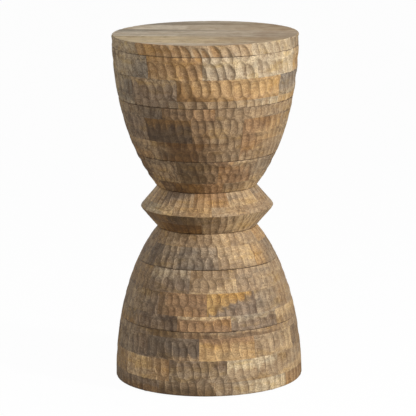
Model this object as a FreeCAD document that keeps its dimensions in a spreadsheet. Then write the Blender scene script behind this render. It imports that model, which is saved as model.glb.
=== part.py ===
import FreeCAD, Part
import os

# A round accent table turned to an hourglass: two bowls, foot to foot, with a bevelled collar at the waist.
# It is built up from rings of mitred hardwood blocks, glued one on another with their joints staggered,
# then turned to shape. The top is an edge-glued board of planks. Lengths are millimetres, angles degrees.
# The origin is at the bottom centre, +Z is up and the front faces -Y.

DRIVING_SIZES = (
    ("rim_radius", 150),
    ("foot_radius", 151.5),
    ("neck_radius", 80),
    ("collar_radius", 108),
    ("wall", 35),
    ("block_count", 10),
    ("top_thickness", 19),
    ("top_plank_width", 78),
    ("top_plank_shift", -3),
    ("top_turn", -9),
    ("waist_spigot_clearance", 0.3),
    ("base_board_thickness", 12),
    ("base_board_recess", 6),
    ("base_board_clearance", 0.3),
    ("pad_count", 4),
    ("pad_thickness", 2),
    ("pad_radius", 11),
    ("pad_turn", 45),
    ("overrun", 5),
)

# The height of each course of blocks, from the bottom up.
LOWER_HEIGHTS = (22, 35, 35, 10, 24, 35, 35, 33, 19)
COLLAR_HEIGHTS_BELOW_RIDGE = (17, 16)
COLLAR_HEIGHTS_ABOVE_RIDGE = (13, 20)
UPPER_HEIGHTS = (18, 38, 32, 38, 19, 12, 34, 36)

# How far each course's first glue joint is turned from the front towards +X, from the bottom up.
LOWER_JOINT_TURNS = (4, 11, -6, 18, 15, -1, -14, 9, -12)
COLLAR_JOINT_TURNS = (-6, 12, 4, -14)
UPPER_JOINT_TURNS = (17, 10, -10, -10, 6, -18, 17.5, -2)

LOWER_NAMES = [f"lower_ring_{number}" for number in range(1, len(LOWER_HEIGHTS) + 1)]
COLLAR_HEIGHTS = COLLAR_HEIGHTS_BELOW_RIDGE + COLLAR_HEIGHTS_ABOVE_RIDGE
COLLAR_NAMES = [f"collar_ring_{number}" for number in range(1, len(COLLAR_HEIGHTS) + 1)]
UPPER_NAMES = [f"upper_ring_{number}" for number in range(1, len(UPPER_HEIGHTS) + 1)]

# The planks beside the middle one reach this share of the way from it to the rim.
SIDE_PLANK_SHARE = 0.7

FULL_TURN = 360
HALF_TURN = 180
QUARTER_TURN = 90
UPRIGHT = "vector(0; 0; 1)"


def make_sheet(doc):
    """Write the driving sizes and the courses' heights and turns, one named cell each."""
    sheet = doc.addObject("Spreadsheet::Sheet", "Sizes")
    rows = list(DRIVING_SIZES)
    for names, course_heights, joint_turns in (
        (LOWER_NAMES, LOWER_HEIGHTS, LOWER_JOINT_TURNS),
        (COLLAR_NAMES, COLLAR_HEIGHTS, COLLAR_JOINT_TURNS),
        (UPPER_NAMES, UPPER_HEIGHTS, UPPER_JOINT_TURNS),
    ):
        for name, height, joint_turn in zip(names, course_heights, joint_turns):
            rows.append((f"{name}_height", height))
            rows.append((f"{name}_joint_turn", joint_turn))
    for row, (alias, value) in enumerate(rows, start=1):
        sheet.set(f"A{row}", alias)
        sheet.set(f"B{row}", str(value))
        sheet.setAlias(f"B{row}", alias)
    doc.recompute()
    return sheet


def size(alias):
    """The expression that reads one named size."""
    return f"Sizes.{alias}"


def heights(names):
    """The expression for the height of these courses stacked, zero for none."""
    return "(" + " + ".join([size(f"{name}_height") for name in names] or ["0"]) + ")"


LOWER_BOWL_HEIGHT = heights(LOWER_NAMES)
UPPER_BOWL_HEIGHT = f"({heights(UPPER_NAMES)} + {size('top_thickness')})"
COLLAR_FLOOR = f"({size('pad_thickness')} + {LOWER_BOWL_HEIGHT})"
UPPER_BOWL_FLOOR = f"({COLLAR_FLOOR} + {heights(COLLAR_NAMES)})"
TOP_BOARD_FLOOR = f"({UPPER_BOWL_FLOOR} + {heights(UPPER_NAMES)})"
TABLE_HEIGHT = f"({TOP_BOARD_FLOOR} + {size('top_thickness')})"
WAIST_BORE = f"({size('neck_radius')} - {size('wall')})"


def bowl_taper(wide_radius):
    """The expression for how far the bowl's curve has closed in at the neck."""
    return f"(1 - pow({size('neck_radius')} / {wide_radius}; 2))"


def bowl_radius(wide_radius, bowl_height, distance):
    """The expression for a bowl's radius at a distance from its wide end."""
    return f"({wide_radius} * sqrt(1 - pow({distance} / {bowl_height}; 2) * {bowl_taper(wide_radius)}))"


def placed(item, base, turn):
    """Bind an object's place to a height or a vector, and to a turn about the upright axis."""
    item.setExpression("Placement", f"placement({base}; rotation({UPRIGHT}; {turn}))")


def at_height(height):
    """The expression for a point on the axis."""
    return f"vector(0; 0; {height})"


def make_bowl_form(doc, name, wide_radius, bowl_height, wide_end):
    """A half-ellipse turned about the axis: it is upright at its wide end and narrows to the neck."""
    form = doc.addObject("Part::Ellipsoid", name)
    form.setExpression("Radius1", f"{bowl_height} / sqrt({bowl_taper(wide_radius)})")
    form.setExpression("Radius2", wide_radius)
    form.setExpression("Radius3", wide_radius)
    form.Angle1 = -QUARTER_TURN
    form.Angle2 = QUARTER_TURN
    placed(form, at_height(wide_end), 0)
    return form


def make_bevel_form(doc, name, low_radius, high_radius, height, floor):
    """One straight bevel of the collar."""
    form = doc.addObject("Part::Cone", name)
    form.setExpression("Radius1", low_radius)
    form.setExpression("Radius2", high_radius)
    form.setExpression("Height", height)
    placed(form, at_height(floor), 0)
    return form


def make_ring(doc, name, floor, inner, reach, form):
    """A course of mitred blocks: straight sawn inside, turned to the form outside."""
    half_mitre = f"tan({HALF_TURN} / {size('block_count')})"
    outer = f"({reach} + {size('overrun')})"
    blank = doc.addObject("Part::Wedge", f"{name}_blank")
    blank.setExpression("Ymin", inner)
    blank.setExpression("Ymax", outer)
    blank.setExpression("Xmin", f"-{inner} * {half_mitre}")
    blank.setExpression("Xmax", f"{inner} * {half_mitre}")
    blank.setExpression("X2min", f"-{outer} * {half_mitre}")
    blank.setExpression("X2max", f"{outer} * {half_mitre}")
    blank.setExpression("Zmin", "0")
    blank.setExpression("Z2min", "0")
    blank.setExpression("Zmax", size(f"{name}_height"))
    blank.setExpression("Z2max", size(f"{name}_height"))
    placed(blank, at_height(floor), 0)
    block = doc.addObject("Part::MultiCommon", f"{name}_block")
    block.Shapes = [blank, form]
    copies = []
    for number in range(int(doc.Sizes.block_count)):
        copy = doc.addObject("App::Link", f"{name}_copy_{number + 1}")
        copy.LinkedObject = block
        copy.LinkTransform = True
        turn = f"{size(f'{name}_joint_turn')} + ({number} + 1 / 2) * {FULL_TURN} / {size('block_count')}"
        placed(copy, at_height(0), turn)
        copies.append(copy)
    ring = doc.addObject("Part::Compound", name)
    ring.Links = copies
    ring.Label = name
    return ring


def make_lower_bowl(doc):
    """The foot's courses, each bored by its wall from its narrow upper end."""
    wide = size("foot_radius")
    form = make_bowl_form(doc, "lower_form", wide, LOWER_BOWL_HEIGHT, size("pad_thickness"))
    rings = []
    for number, name in enumerate(LOWER_NAMES):
        floor = f"({size('pad_thickness')} + {heights(LOWER_NAMES[:number])})"
        narrow = bowl_radius(wide, LOWER_BOWL_HEIGHT, heights(LOWER_NAMES[: number + 1]))
        rings.append(make_ring(doc, name, floor, f"({narrow} - {size('wall')})", wide, form))
    return rings


def make_collar(doc):
    """The collar's courses: out to the ridge, then back in to the neck."""
    neck, ridge = size("neck_radius"), size("collar_radius")
    below = COLLAR_NAMES[: len(COLLAR_HEIGHTS_BELOW_RIDGE)]
    above = COLLAR_NAMES[len(COLLAR_HEIGHTS_BELOW_RIDGE) :]
    ridge_level = f"({COLLAR_FLOOR} + {heights(below)})"
    widening = make_bevel_form(doc, "collar_form_below", neck, ridge, heights(below), COLLAR_FLOOR)
    narrowing = make_bevel_form(doc, "collar_form_above", ridge, neck, heights(above), ridge_level)
    rings = []
    for number, name in enumerate(COLLAR_NAMES):
        floor = f"({COLLAR_FLOOR} + {heights(COLLAR_NAMES[:number])})"
        form = widening if name in below else narrowing
        rings.append(make_ring(doc, name, floor, WAIST_BORE, ridge, form))
    return rings


def make_upper_bowl(doc):
    """The upper bowl's courses, each bored by its wall from its narrow lower end, and the top's planks."""
    wide = size("rim_radius")
    form = make_bowl_form(doc, "upper_form", wide, UPPER_BOWL_HEIGHT, TABLE_HEIGHT)
    pieces = []
    for number, name in enumerate(UPPER_NAMES):
        floor = f"({UPPER_BOWL_FLOOR} + {heights(UPPER_NAMES[:number])})"
        distance = f"({UPPER_BOWL_HEIGHT} - {heights(UPPER_NAMES[:number])})"
        narrow = bowl_radius(wide, UPPER_BOWL_HEIGHT, distance)
        pieces.append(make_ring(doc, name, floor, f"({narrow} - {size('wall')})", wide, form))
    return pieces + make_top_planks(doc, form)


def make_top_planks(doc, form):
    """The top board's five planks from front to back: the middle one, one each side and two at the rim."""
    rim, shift, half_plank = size("rim_radius"), size("top_plank_shift"), f"{size('top_plank_width')} / 2"
    front_joint, back_joint = f"({shift} - {half_plank})", f"({shift} + {half_plank})"
    reach = f"({rim} + {size('overrun')})"
    edges = (
        f"(-{reach})",
        f"({front_joint} - {SIDE_PLANK_SHARE} * ({rim} + {front_joint}))",
        front_joint,
        back_joint,
        f"({back_joint} + {SIDE_PLANK_SHARE} * ({rim} - {back_joint}))",
        reach,
    )
    turn = size("top_turn")
    planks = []
    for number, (near, far) in enumerate(zip(edges, edges[1:]), start=1):
        corner_x = f"-{reach} * cos({turn}) - {near} * sin({turn})"
        corner_y = f"-{reach} * sin({turn}) + {near} * cos({turn})"
        board = doc.addObject("Part::Box", f"top_plank_{number}_board")
        board.setExpression("Length", f"2 * {reach}")
        board.setExpression("Width", f"{far} - {near}")
        board.setExpression("Height", size("top_thickness"))
        placed(board, f"vector({corner_x}; {corner_y}; {TOP_BOARD_FLOOR})", turn)
        plank = doc.addObject("Part::MultiCommon", f"top_plank_{number}")
        plank.Shapes = [board, form]
        plank.Label = f"top_plank_{number}"
        planks.append(plank)
    return planks


def make_waist_spigot(doc):
    """The solid round post inside the waist, which joins the two bowls through the collar."""
    spigot = doc.addObject("Part::Cylinder", "waist_spigot")
    spigot.setExpression("Radius", f"{WAIST_BORE} - {size('waist_spigot_clearance')}")
    spigot.setExpression("Height", heights([LOWER_NAMES[-1], *COLLAR_NAMES, UPPER_NAMES[0]]))
    placed(spigot, at_height(f"{size('pad_thickness')} + {heights(LOWER_NAMES[:-1])}"), 0)
    spigot.Label = "waist_spigot"
    return spigot


def make_base_board(doc):
    """The panel let into the lowest course, a little above its underside."""
    wide, foot_course = size("foot_radius"), LOWER_NAMES[0]
    narrow = bowl_radius(wide, LOWER_BOWL_HEIGHT, heights([foot_course]))
    across_flats = f"({narrow} - {size('wall')} - {size('base_board_clearance')})"
    board = doc.addObject("Part::Prism", "base_board")
    board.setExpression("Polygon", size("block_count"))
    board.setExpression("Circumradius", f"{across_flats} / cos({HALF_TURN} / {size('block_count')})")
    board.setExpression("Height", size("base_board_thickness"))
    floor = f"{size('pad_thickness')} + {size('base_board_recess')}"
    placed(board, at_height(floor), f"{size(f'{foot_course}_joint_turn')} - {QUARTER_TURN}")
    board.Label = "base_board"
    return board


def make_felt_pads(doc):
    """The round pads stuck under the middle of the lowest course's wall."""
    pad = doc.addObject("Part::Cylinder", "pad")
    pad.setExpression("Radius", size("pad_radius"))
    pad.setExpression("Height", size("pad_thickness"))
    placed(pad, f"vector(0; {size('foot_radius')} - {size('wall')} / 2; 0)", 0)
    copies = []
    for number in range(int(doc.Sizes.pad_count)):
        copy = doc.addObject("App::Link", f"pad_copy_{number + 1}")
        copy.LinkedObject = pad
        copy.LinkTransform = True
        placed(copy, at_height(0), f"{size('pad_turn')} + {number} * {FULL_TURN} / {size('pad_count')}")
        copies.append(copy)
    pads = doc.addObject("Part::Compound", "felt_pads")
    pads.Links = copies
    pads.Label = "felt_pads"
    return pads


def check(doc, pieces):
    """Stop if any object failed to compute or any piece is not a sound solid."""
    for item in doc.Objects:
        if "Invalid" in item.State or "Error" in item.State:
            raise RuntimeError(f"{item.Name} did not compute: {item.State}")
    for piece in pieces:
        if piece.Shape.isNull() or not piece.Shape.isValid() or not piece.Shape.Solids:
            raise RuntimeError(f"{piece.Label} is not a sound solid")


def write(pieces):
    """Write each piece to its own file and print what it holds."""
    os.makedirs("parts", exist_ok=True)
    for piece in pieces:
        shape = piece.Shape
        shape.exportStep(os.path.join("parts", f"{piece.Label}.step"))
        box = shape.optimalBoundingBox()
        print(
            f"{piece.Label}: {len(shape.Solids)} solids, {shape.Volume:.0f} mm3, "
            f"z {box.ZMin:.2f} to {box.ZMax:.2f}, width {box.XLength:.2f}"
        )


def main():
    """Make the table's pieces, check them and write them."""
    doc = FreeCAD.newDocument("AccentTable")
    make_sheet(doc)
    pieces = [make_felt_pads(doc), make_base_board(doc)]
    pieces += make_lower_bowl(doc)
    pieces.append(make_waist_spigot(doc))
    pieces += make_collar(doc)
    pieces += make_upper_bowl(doc)
    doc.recompute()
    check(doc, pieces)
    write(pieces)


main()
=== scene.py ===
import logging
import math
import random
from collections.abc import Callable, Mapping, Sequence
from dataclasses import asdict, dataclass, field, fields, replace
from enum import Enum
from typing import Any

import bmesh
import bpy
import numpy as np
from mathutils import Matrix, Vector


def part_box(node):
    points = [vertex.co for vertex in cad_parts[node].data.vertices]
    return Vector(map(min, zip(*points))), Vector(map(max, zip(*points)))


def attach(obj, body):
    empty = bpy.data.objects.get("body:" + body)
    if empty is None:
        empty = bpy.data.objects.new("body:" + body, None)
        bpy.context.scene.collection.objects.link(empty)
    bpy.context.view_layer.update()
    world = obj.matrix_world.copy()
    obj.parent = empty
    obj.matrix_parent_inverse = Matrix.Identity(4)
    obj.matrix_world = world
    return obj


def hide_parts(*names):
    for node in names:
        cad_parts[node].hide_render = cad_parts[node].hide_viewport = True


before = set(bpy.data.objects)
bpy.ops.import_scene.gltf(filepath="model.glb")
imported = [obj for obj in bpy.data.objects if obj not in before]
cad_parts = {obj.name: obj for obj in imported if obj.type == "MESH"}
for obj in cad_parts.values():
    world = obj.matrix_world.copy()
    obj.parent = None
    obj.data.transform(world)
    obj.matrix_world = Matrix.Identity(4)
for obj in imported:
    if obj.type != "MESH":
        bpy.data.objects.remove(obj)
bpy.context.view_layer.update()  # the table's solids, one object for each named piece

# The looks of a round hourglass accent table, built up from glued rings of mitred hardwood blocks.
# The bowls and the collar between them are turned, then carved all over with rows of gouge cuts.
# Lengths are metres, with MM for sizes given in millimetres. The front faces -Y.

MM = 0.001
FULL_TURN = 2 * math.pi
BLOCK_COUNT = 10
BLOCK_TURN = FULL_TURN / BLOCK_COUNT
HALF_MITRE = math.tan(BLOCK_TURN / 2)
LISTED_BLOCKS = 6
PLANK_COUNT = 5
HALF_PLANK = 150 * MM
WHITE = (1.0, 1.0, 1.0, 1.0)
SAME_LEVEL = 0.1 * MM

log = logging.getLogger("accent_table")


class Tone(Enum):
    """The colours of the wood, from pale to dark, as red, green and blue of 255."""

    LIMED = (213, 198, 175)
    CREAM = (214, 193, 157)
    BUFF = (212, 182, 141)
    STRAW = (205, 175, 131)
    GOLD = (203, 167, 116)
    OCHRE = (196, 156, 94)
    MIST = (186, 166, 136)
    HONEY = (193, 158, 111)
    PEACH = (182, 156, 121)
    CARAMEL = (177, 142, 99)
    TAN = (174, 146, 110)
    GREY_TAN = (165, 143, 114)
    RUSSET = (164, 129, 91)
    FAWN = (160, 134, 101)
    ASH = (168, 154, 134)
    PEWTER = (154, 139, 118)
    GREY = (150, 128, 103)
    BROWN = (141, 113, 81)
    AMBER = (138, 104, 62)
    BLUE_GREY = (139, 122, 100)
    OLIVE = (121, 97, 66)
    DARK_GREY = (128, 110, 89)
    DARK_BROWN = (115, 84, 49)
    UMBER = (104, 84, 62)


class Edge(Enum):
    """How a course's edge is eased: how far in, how deep, and how dark its glue line is from 0 to 1."""

    FLUSH = (0.6 * MM, 0.0, 0.0)
    GLUE_LINE = (1.0 * MM, 1.7 * MM, 0.9)
    WAIST = (0.9 * MM, 1.2 * MM, 0.7)
    ARRIS = (2.0 * MM, 1.4 * MM, 0.0)
    RIDGE = (3.5 * MM, 1.0 * MM, 0.0)
    FOOT = (3.0 * MM, 2.2 * MM, 0.0)


# The names of an edge's three values, as the ends of the names of the carving rule's inputs.
EASING = ("ease", "depth", "glue")


def linear(rgb: Sequence[float]) -> tuple[float, float, float, float]:
    """A colour of 255 as the renderer's linear red, green, blue and alpha, by the sRGB curve.

    Args:
        rgb: Red, green and blue, each from 0 to 255.

    Returns:
        The same colour in linear light, with an alpha of 1.
    """
    shares = [part / 255 for part in rgb]
    parts = [part / 12.92 if part <= 0.04045 else ((part + 0.055) / 1.055) ** 2.4 for part in shares]
    return (parts[0], parts[1], parts[2], 1.0)


def node_operator(operation: str, is_reflected: bool = False) -> Callable[["Term", "Operand"], "Term"]:
    """An operator between two values, as one Math node.

    Args:
        operation: What the node does.
        is_reflected: Whether the other value comes first.

    Returns:
        The operator's method.
    """

    def apply(term: "Term", other: "Operand") -> "Term":
        """The node's result."""
        return term.tree.math(operation, *((other, term) if is_reflected else (term, other)))

    return apply


class Term:
    """One output of a node, used in sums like a number. More or less than is 1 where true, else 0."""

    __add__ = node_operator("ADD")
    __radd__ = node_operator("ADD", is_reflected=True)
    __sub__ = node_operator("SUBTRACT")
    __rsub__ = node_operator("SUBTRACT", is_reflected=True)
    __mul__ = node_operator("MULTIPLY")
    __rmul__ = node_operator("MULTIPLY", is_reflected=True)
    __truediv__ = node_operator("DIVIDE")
    __rtruediv__ = node_operator("DIVIDE", is_reflected=True)
    __gt__ = node_operator("GREATER_THAN")
    __lt__ = node_operator("LESS_THAN")

    def __init__(self, tree: "Tree", socket: bpy.types.NodeSocket) -> None:
        """Keep the tree and the output socket."""
        self.tree = tree
        self.socket = socket

    def __neg__(self) -> "Term":
        """This with its sign changed."""
        return self * -1.0

    def __abs__(self) -> "Term":
        """This without its sign."""
        return self.tree.math("ABSOLUTE", self)

    def output(self, name: str) -> "Term":
        """Another output of the node that this one comes from."""
        return Term(self.tree, self.socket.node.outputs[name])

    def step(self, low: float, high: float) -> "Term":
        """A smooth rise from 0 at low to 1 at high, or a fall where low is the greater.

        Args:
            low: The value at which the result is 0.
            high: The value at which the result is 1.

        Returns:
            The share from 0 to 1.
        """
        sockets = {"Value": self, "From Min": low, "From Max": high}
        return self.tree.node("ShaderNodeMapRange", {"interpolation_type": "SMOOTHSTEP"}, sockets)


Operand = Term | float


class Tree:
    """A node tree being made, for a finish or for geometry."""

    def __init__(self, nodes: bpy.types.NodeTree) -> None:
        """Start from an empty tree."""
        self.nodes = nodes
        nodes.nodes.clear()

    def node(
        self,
        kind: str,
        settings: Mapping[str, Any] | None = None,
        sockets: Mapping[str | int, Any] | None = None,
        output: str | int = 0,
    ) -> Term:
        """Add one node.

        Args:
            kind: The node's type.
            settings: The node's own properties, set first.
            sockets: Values or links for its inputs, by identifier, name or number.
            output: The output to hand back.

        Returns:
            The chosen output.
        """
        made = self.nodes.nodes.new(kind)
        for key, value in (settings or {}).items():
            setattr(made, key, value)
        for key, value in (sockets or {}).items():
            target = self._find(made.inputs, key)
            if isinstance(value, Term):
                self.nodes.links.new(value.socket, target)
            else:
                target.default_value = value
        return Term(self, self._find(made.outputs, output) if made.outputs else made.inputs[0])

    @staticmethod
    def _find(sockets: bpy.types.bpy_prop_collection, key: str | int) -> bpy.types.NodeSocket:
        """A socket by number, identifier or name."""
        by_identifier = {socket.identifier: socket for socket in sockets}
        return by_identifier.get(key) or sockets[key]

    def math(self, operation: str, *operands: Operand) -> Term:
        """One Math node.

        Args:
            operation: What it does.
            operands: Its inputs, in order.

        Returns:
            The result.
        """
        return self.node("ShaderNodeMath", {"operation": operation}, dict(enumerate(operands)))

    def mix(self, first: Any, second: Any, share: Operand, blend: str = "MIX") -> Term:
        """Mix two colours.

        Args:
            first: The colour at a share of 0.
            second: The colour at a share of 1.
            share: How much of the second there is.
            blend: How they are combined.

        Returns:
            The mixed colour.
        """
        settings = {"data_type": "RGBA", "blend_type": blend, "clamp_factor": True}
        sockets = {"A_Color": first, "B_Color": second, "Factor_Float": share}
        return self.node("ShaderNodeMix", settings, sockets, "Result_Color")

    def scale(self, colour: Term, factor: float) -> Term:
        """A colour made lighter or darker in proportion."""
        return self.node("ShaderNodeVectorMath", {"operation": "SCALE"}, {"Vector": colour, "Scale": factor})

    def vector(self, x: Operand, y: Operand, z: Operand) -> Term:
        """A vector from its three parts."""
        return self.node("ShaderNodeCombineXYZ", None, {"X": x, "Y": y, "Z": z})

    def parts(self, vector: Term) -> tuple[Term, Term, Term]:
        """The three parts of a vector."""
        split = self.node("ShaderNodeSeparateXYZ", None, {"Vector": vector})
        return split, split.output("Y"), split.output("Z")

    def noise(self, place: Term, scale: float, detail: float = 2.0, rough: float = 0.5) -> Term:
        """Soft noise from 0 to 1 about 0.5.

        Args:
            place: Where it is read.
            scale: How many swells there are to a unit of length.
            detail: How many finer layers lie on it.
            rough: How strong they are.

        Returns:
            The noise.
        """
        sockets = {"Vector": place, "Scale": scale, "Detail": detail, "Roughness": rough}
        return self.node("ShaderNodeTexNoise", None, sockets)

    def attribute(self, name: str, output: str = "Fac") -> Term:
        """A named value stored on the mesh."""
        return self.node("ShaderNodeAttribute", {"attribute_name": name}, None, output)

    def coat(
        self,
        tone: Term,
        roughness: Operand,
        height: Term,
        relief: tuple[float, float],
        extra: Mapping[str, float],
    ) -> Term:
        """A surface with a fine relief.

        Args:
            tone: Its colour.
            roughness: How matt it is.
            height: The height of the relief, as a share of its depth.
            relief: How strongly the relief shows, and its depth.
            extra: The values of the shader's other sockets by name.

        Returns:
            The surface shader.
        """
        strength, depth = relief
        bump = self.node("ShaderNodeBump", None, {"Strength": strength, "Distance": depth, "Height": height})
        sockets = {"Base Color": tone, "Roughness": roughness, "Normal": bump, **extra}
        return self.node("ShaderNodeBsdfPrincipled", None, sockets)


@dataclass(frozen=True)
class Timber:
    """The wood of one block or plank.

    Attributes:
        tone: Its main colour.
        other: The colour beyond its heartwood line, or None where it is one colour.
        toward: The direction in which the other colour lies: 0 is right and 90 is up, in degrees.
        split: Where the line lies that way, from -1 to 1 across the face.
        soft: How soft the line is.
        streaks: How coarse it is: how strong its mineral streaks and tool marks are, and also how strong
        the painted shade along its cuts is.
    """

    tone: Tone
    other: Tone | None = None
    toward: float = 90.0
    split: float = 0.0
    soft: float = 0.25
    streaks: float = 0.3

    def values(self, seed: float) -> dict[str, tuple[float, ...]]:
        """What the finish reads of this wood.

        Args:
            seed: The block's own number, which moves its figure along.

        Returns:
            The values of each stored attribute.
        """
        angle = math.radians(self.toward)
        other = self.other or self.tone
        return {
            "tone": linear(self.tone.value),
            "other_tone": linear(other.value),
            "heart_line": (math.cos(angle), math.sin(angle), self.split),
            "nature": (self.soft, self.streaks, seed),
        }


@dataclass(frozen=True)
class Profile:
    """The turned outline: the radius squared is a constant, a slope and a curve over the height.

    Attributes:
        level: The height that the others are measured from.
        square: The radius squared there.
        slope: How fast that changes.
        curve: How fast the slope changes, halved.
    """

    level: float
    square: float
    slope: float
    curve: float

    @classmethod
    def bowl(cls, wide: float, neck: float, wide_level: float, neck_level: float) -> "Profile":
        """A half ellipse, upright at its wide end.

        Args:
            wide: The radius at the wide end.
            neck: The radius at the neck.
            wide_level: The height of the wide end.
            neck_level: The height of the neck.

        Returns:
            The outline.
        """
        curve = (neck**2 - wide**2) / (neck_level - wide_level) ** 2
        return cls(wide_level, wide**2, 0.0, curve)

    @classmethod
    def bevel(cls, low_radius: float, high_radius: float, low: float, high: float) -> "Profile":
        """A straight bevel.

        Args:
            low_radius: The radius at its foot.
            high_radius: The radius at its head.
            low: The height of its foot.
            high: The height of its head.

        Returns:
            The outline.
        """
        slope = (high_radius - low_radius) / (high - low)
        return cls(low, low_radius**2, 2 * low_radius * slope, slope**2)

    def radius(self, level: float) -> float:
        """The radius at a height."""
        up = level - self.level
        return math.sqrt(self.square + self.slope * up + self.curve * up * up)


@dataclass(frozen=True)
class Carving:
    """One stretch of the turned form, gouged in even rows.

    Attributes:
        row_level: The height of the middle of one row.
        pitch: The height from row to row.
        width: The width of a cut, round the form.
        depth: The depth of a cut at its middle.
        play: How much the depth varies.
        wall: How far a cut's side stands above its middle, half a width away.
        flat: How flat its bottom is, from 0, a round gouge, to 1, a nearly flat one.
        stretch: How the cut's curve along its length compares with that across it.
        lean: How far a cut's top leans to the left in the first row, for each unit of height.
        lean_gain: How much more the cuts lean in each next row up.
        bend: How much a cut bows to one side: the most, for each unit of height squared.
        tilt: How much a cut deepens to the right, which makes its right wall the steeper.
        drift: How far a cut strays sideways, as a share of its width.
        wander: How far it strays up or down, as a share of the pitch.
        seed: The number that fixes the strays.
    """

    row_level: float
    pitch: float
    width: float
    depth: float
    play: float = 0.8 * MM
    wall: float = 1.5 * MM
    flat: float = 0.8
    stretch: float = 0.45
    lean: float = 0.1
    lean_gain: float = 0.0
    bend: float = 12.0
    tilt: float = 0.1
    drift: float = 0.3
    wander: float = 0.3
    seed: int = 1


def label(name: str) -> str:
    """The name of the carving rule's input for a size: row_level is Row level."""
    return name.replace("_", " ").capitalize()


def add_object(name: str, data: bpy.types.ID) -> bpy.types.Object:
    """Put a new object with a mesh, a light or a camera in the scene.

    Args:
        name: Its name.
        data: Its mesh, light or camera.

    Returns:
        The object.
    """
    made = bpy.data.objects.new(name, data)
    bpy.context.scene.collection.objects.link(made)
    return made


class GougeCarving:
    """The rule that shapes every course: rows of overlapping gouge cuts round a turned form.

    SKIM is taken off everywhere, so that no ridge stands proud of the solid. SCRAMBLE draws a second
    chance number from a first one, and LEAST_WIDTH and WIDTH_PLAY say how the widths of the cuts vary.
    """

    NAME = "gouge carving"
    SOFTEN = 0.05 * MM
    WELD = 0.01 * MM
    SKIM = 0.06 * MM
    LEAST_SQUARE = 1e-8
    SCRAMBLE = 7.0
    LEAST_WIDTH = 0.9
    WIDTH_PLAY = 0.2
    USUAL_BOW = 0.3
    WHOLE_INPUTS = ("Columns", "Rows", "Seed")
    INPUTS = (
        "Bottom", "Top", "Edge row", "First joint", "Bore",
        *(f"{end} {part}" for end in ("Bottom", "Top") for part in EASING),
        *(label(size.name) for size in (*fields(Profile), *fields(Carving)) if size.name != "seed"),
    )

    def __init__(self) -> None:
        """Make the tree and its named inputs."""
        self.group = bpy.data.node_groups.new(self.NAME, "GeometryNodeTree")
        interface = self.group.interface
        kinds = dict.fromkeys(self.WHOLE_INPUTS, "NodeSocketInt")
        kinds |= dict.fromkeys(self.INPUTS, "NodeSocketFloat")
        kinds["Finish"] = "NodeSocketMaterial"
        self.identifiers = {
            name: interface.new_socket(name, in_out="INPUT", socket_type=kind).identifier
            for name, kind in kinds.items()
        }
        interface.new_socket("Geometry", in_out="OUTPUT", socket_type="NodeSocketGeometry")
        self.tree = Tree(self.group)
        self.given = self.tree.node("NodeGroupInput")
        self._lay_out()

    def _input(self, name: str) -> Term:
        """A named input of the tree."""
        return self.given.output(name)

    def _form_radius(self, level: Term) -> Term:
        """The turned form's radius at a height.

        Args:
            level: The height.

        Returns:
            The radius.
        """
        up = level - self._input("Level")
        square = self._input("Square") + self._input("Slope") * up + self._input("Curve") * up * up
        return self.tree.math("SQRT", self.tree.math("MAXIMUM", square, self.LEAST_SQUARE))

    def _cut(self, row: Term, column: Term, count: Term, turn: Term, level: Term) -> tuple[Term, Term]:
        """How deep one gouge cut goes at a point, and where in the cut the point lies.

        Args:
            row: The cut's row.
            column: The cut's number in the row.
            count: How many cuts the row has.
            turn: The point's angle round the form.
            level: The point's height.

        Returns:
            The depth, below zero outside the cut, and the place across it from -0.5 to 0.5.
        """
        tree, take = self.tree, self._input
        place = tree.vector(row, tree.math("FLOORED_MODULO", column, count), take("Seed"))
        chance = tree.node("ShaderNodeTexWhiteNoise", None, {"Vector": place}, "Color")
        aside, aloft, deeper = tree.parts(chance)
        middle = (column - row * 0.5 + (aside - 0.5) * take("Drift")) / count * FULL_TURN
        across = self._form_radius(level) * (turn - middle)
        up = level - take("Row level") - row * take("Pitch") - (aloft - 0.5) * take("Wander") * take("Pitch")
        bow = (tree.math("FRACT", deeper * self.SCRAMBLE) - self.USUAL_BOW) * take("Bend")
        leaning = across + (take("Lean") + take("Lean gain") * row) * up + bow * up * up
        drawn = take("Stretch") * up
        other_chance = tree.math("FRACT", aside * self.SCRAMBLE)
        width = take("Width") * (self.LEAST_WIDTH + self.WIDTH_PLAY * other_chance)
        reach = (leaning * leaning + drawn * drawn) * 4.0 / (width * width)
        fall = take("Wall") * reach * (1.0 + take("Flat") * (reach - 1.0))
        depth = take("Depth") + (deeper - 0.5) * take("Play") + take("Tilt") * leaning - fall
        return depth, leaning / width

    def _depth(self, turn: Term, level: Term) -> tuple[Term, Term, Term]:
        """How deep the deepest of the four nearest cuts goes at a point.

        Args:
            turn: The point's angle round the form.
            level: The point's height.

        Returns:
            The depth, how much deeper that is than the next deepest, which is 0 on a ridge, and the
            place across the deepest cut.
        """
        tree, take = self.tree, self._input
        first_row = tree.math("FLOOR", (level - take("Row level")) / take("Pitch"))
        cuts = []
        for next_row in range(2):
            row = first_row + float(next_row)
            radius = self._form_radius(take("Row level") + row * take("Pitch"))
            count = tree.math("ROUND", FULL_TURN * radius / take("Width"))
            first = tree.math("FLOOR", turn * count / FULL_TURN + row * 0.5)
            for next_column in range(2):
                cuts.append(self._cut(row, first + float(next_column), count, turn, level))
        first_cut, side = cuts[0]
        deepest = tree.math("MAXIMUM", first_cut, 0.0)
        second = tree.math("MINIMUM", first_cut, 0.0)
        for cut, cut_side in cuts[1:]:
            side = side + (cut > deepest) * (cut_side - side)
            second = tree.math("MAXIMUM", second, tree.math("MINIMUM", deepest, cut))
            deepest = tree.math("SMOOTH_MAX", deepest, cut, self.SOFTEN)
        return deepest, deepest - second, side

    def _ease(self, distance: Term, ease: Term) -> Term:
        """How much of an edge's easing is felt at a distance from it, from 1 at the edge to 0."""
        near = self.tree.math("MAXIMUM", 1.0 - distance / ease, 0.0)
        return near * near

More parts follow.
